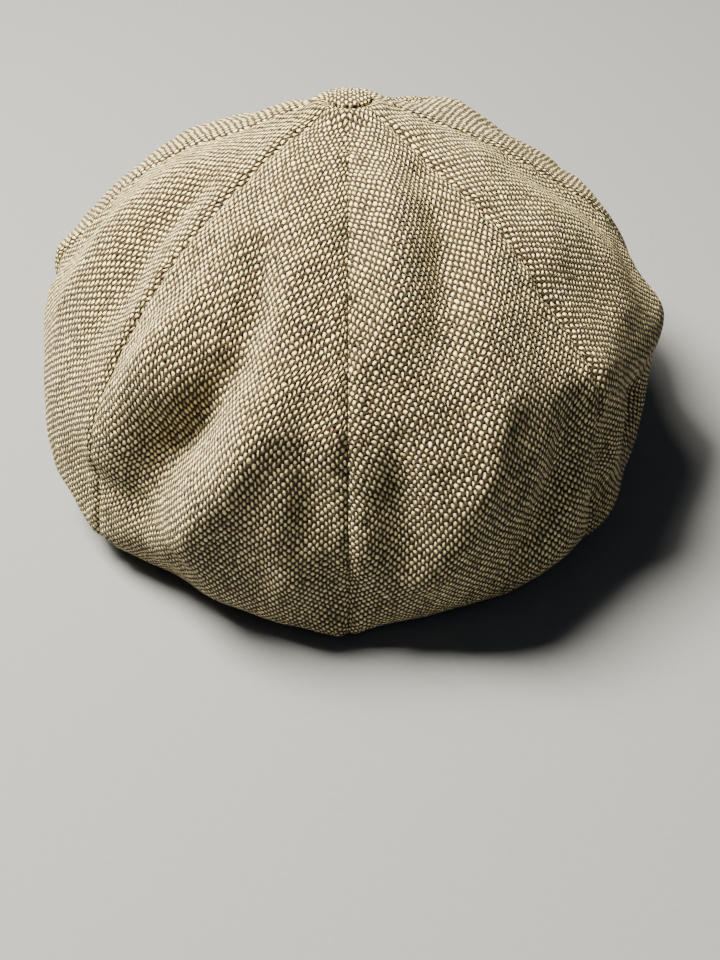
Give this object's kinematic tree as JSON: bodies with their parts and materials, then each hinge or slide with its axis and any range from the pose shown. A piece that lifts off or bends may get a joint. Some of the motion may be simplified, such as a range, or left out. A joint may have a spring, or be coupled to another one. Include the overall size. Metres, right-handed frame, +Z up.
{
  "type": "newsboy cap",
  "caption": "Full, soft newsboy cap of coarse brown and cream plain-weave tweed, gored to a covered button, with a short stiff peak hidden under the front fullness.",
  "frame": {"origin": "centre of the head opening, on the plane of the headband's bottom edge", "axes": "+Z up through the crown's button, peak towards -Y, centre back towards +Y, +X to the wearer's left"},
  "size_m": [0.2836, 0.3271, 0.1713],
  "materials": {
    "tweed": "coarse matt plain weave, cream over near-black brown, slightly fuzzy",
    "lining_cloth": "satin lining, soft sheen",
    "band_stiffener": "matt non-woven",
    "sweatband_cloth": "matt twill",
    "label_cloth": "smooth woven, blank",
    "peak_board_plastic": "matt moulded",
    "button_metal": "plain pressed"
  },
  "bodies": {
    "root": {"crown_panel_back_left": "tweed", "crown_panel_back_right": "tweed", "crown_panel_rear_side_left": "tweed", "crown_panel_rear_side_right": "tweed", "crown_panel_front_side_left": "tweed", "crown_panel_front_side_right": "tweed", "crown_panel_front_left": "tweed", "crown_panel_front_right": "tweed", "lining_panel_back_left": "lining_cloth", "lining_panel_back_right": "lining_cloth", "lining_panel_rear_side_left": "lining_cloth", "lining_panel_rear_side_right": "lining_cloth", "lining_panel_front_side_left": "lining_cloth", "lining_panel_front_side_right": "lining_cloth", "lining_panel_front_left": "lining_cloth", "lining_panel_front_right": "lining_cloth", "headband_outer": "tweed", "headband_interlining": "band_stiffener", "sweatband": "sweatband_cloth", "sweatband_label": "label_cloth", "peak_top_cover": "tweed", "peak_board": "peak_board_plastic", "peak_under_cover": "tweed", "crown_button_cover": "tweed", "crown_button_shell": "button_metal", "crown_button_prong": "button_metal"}
  },
  "joints": []
}
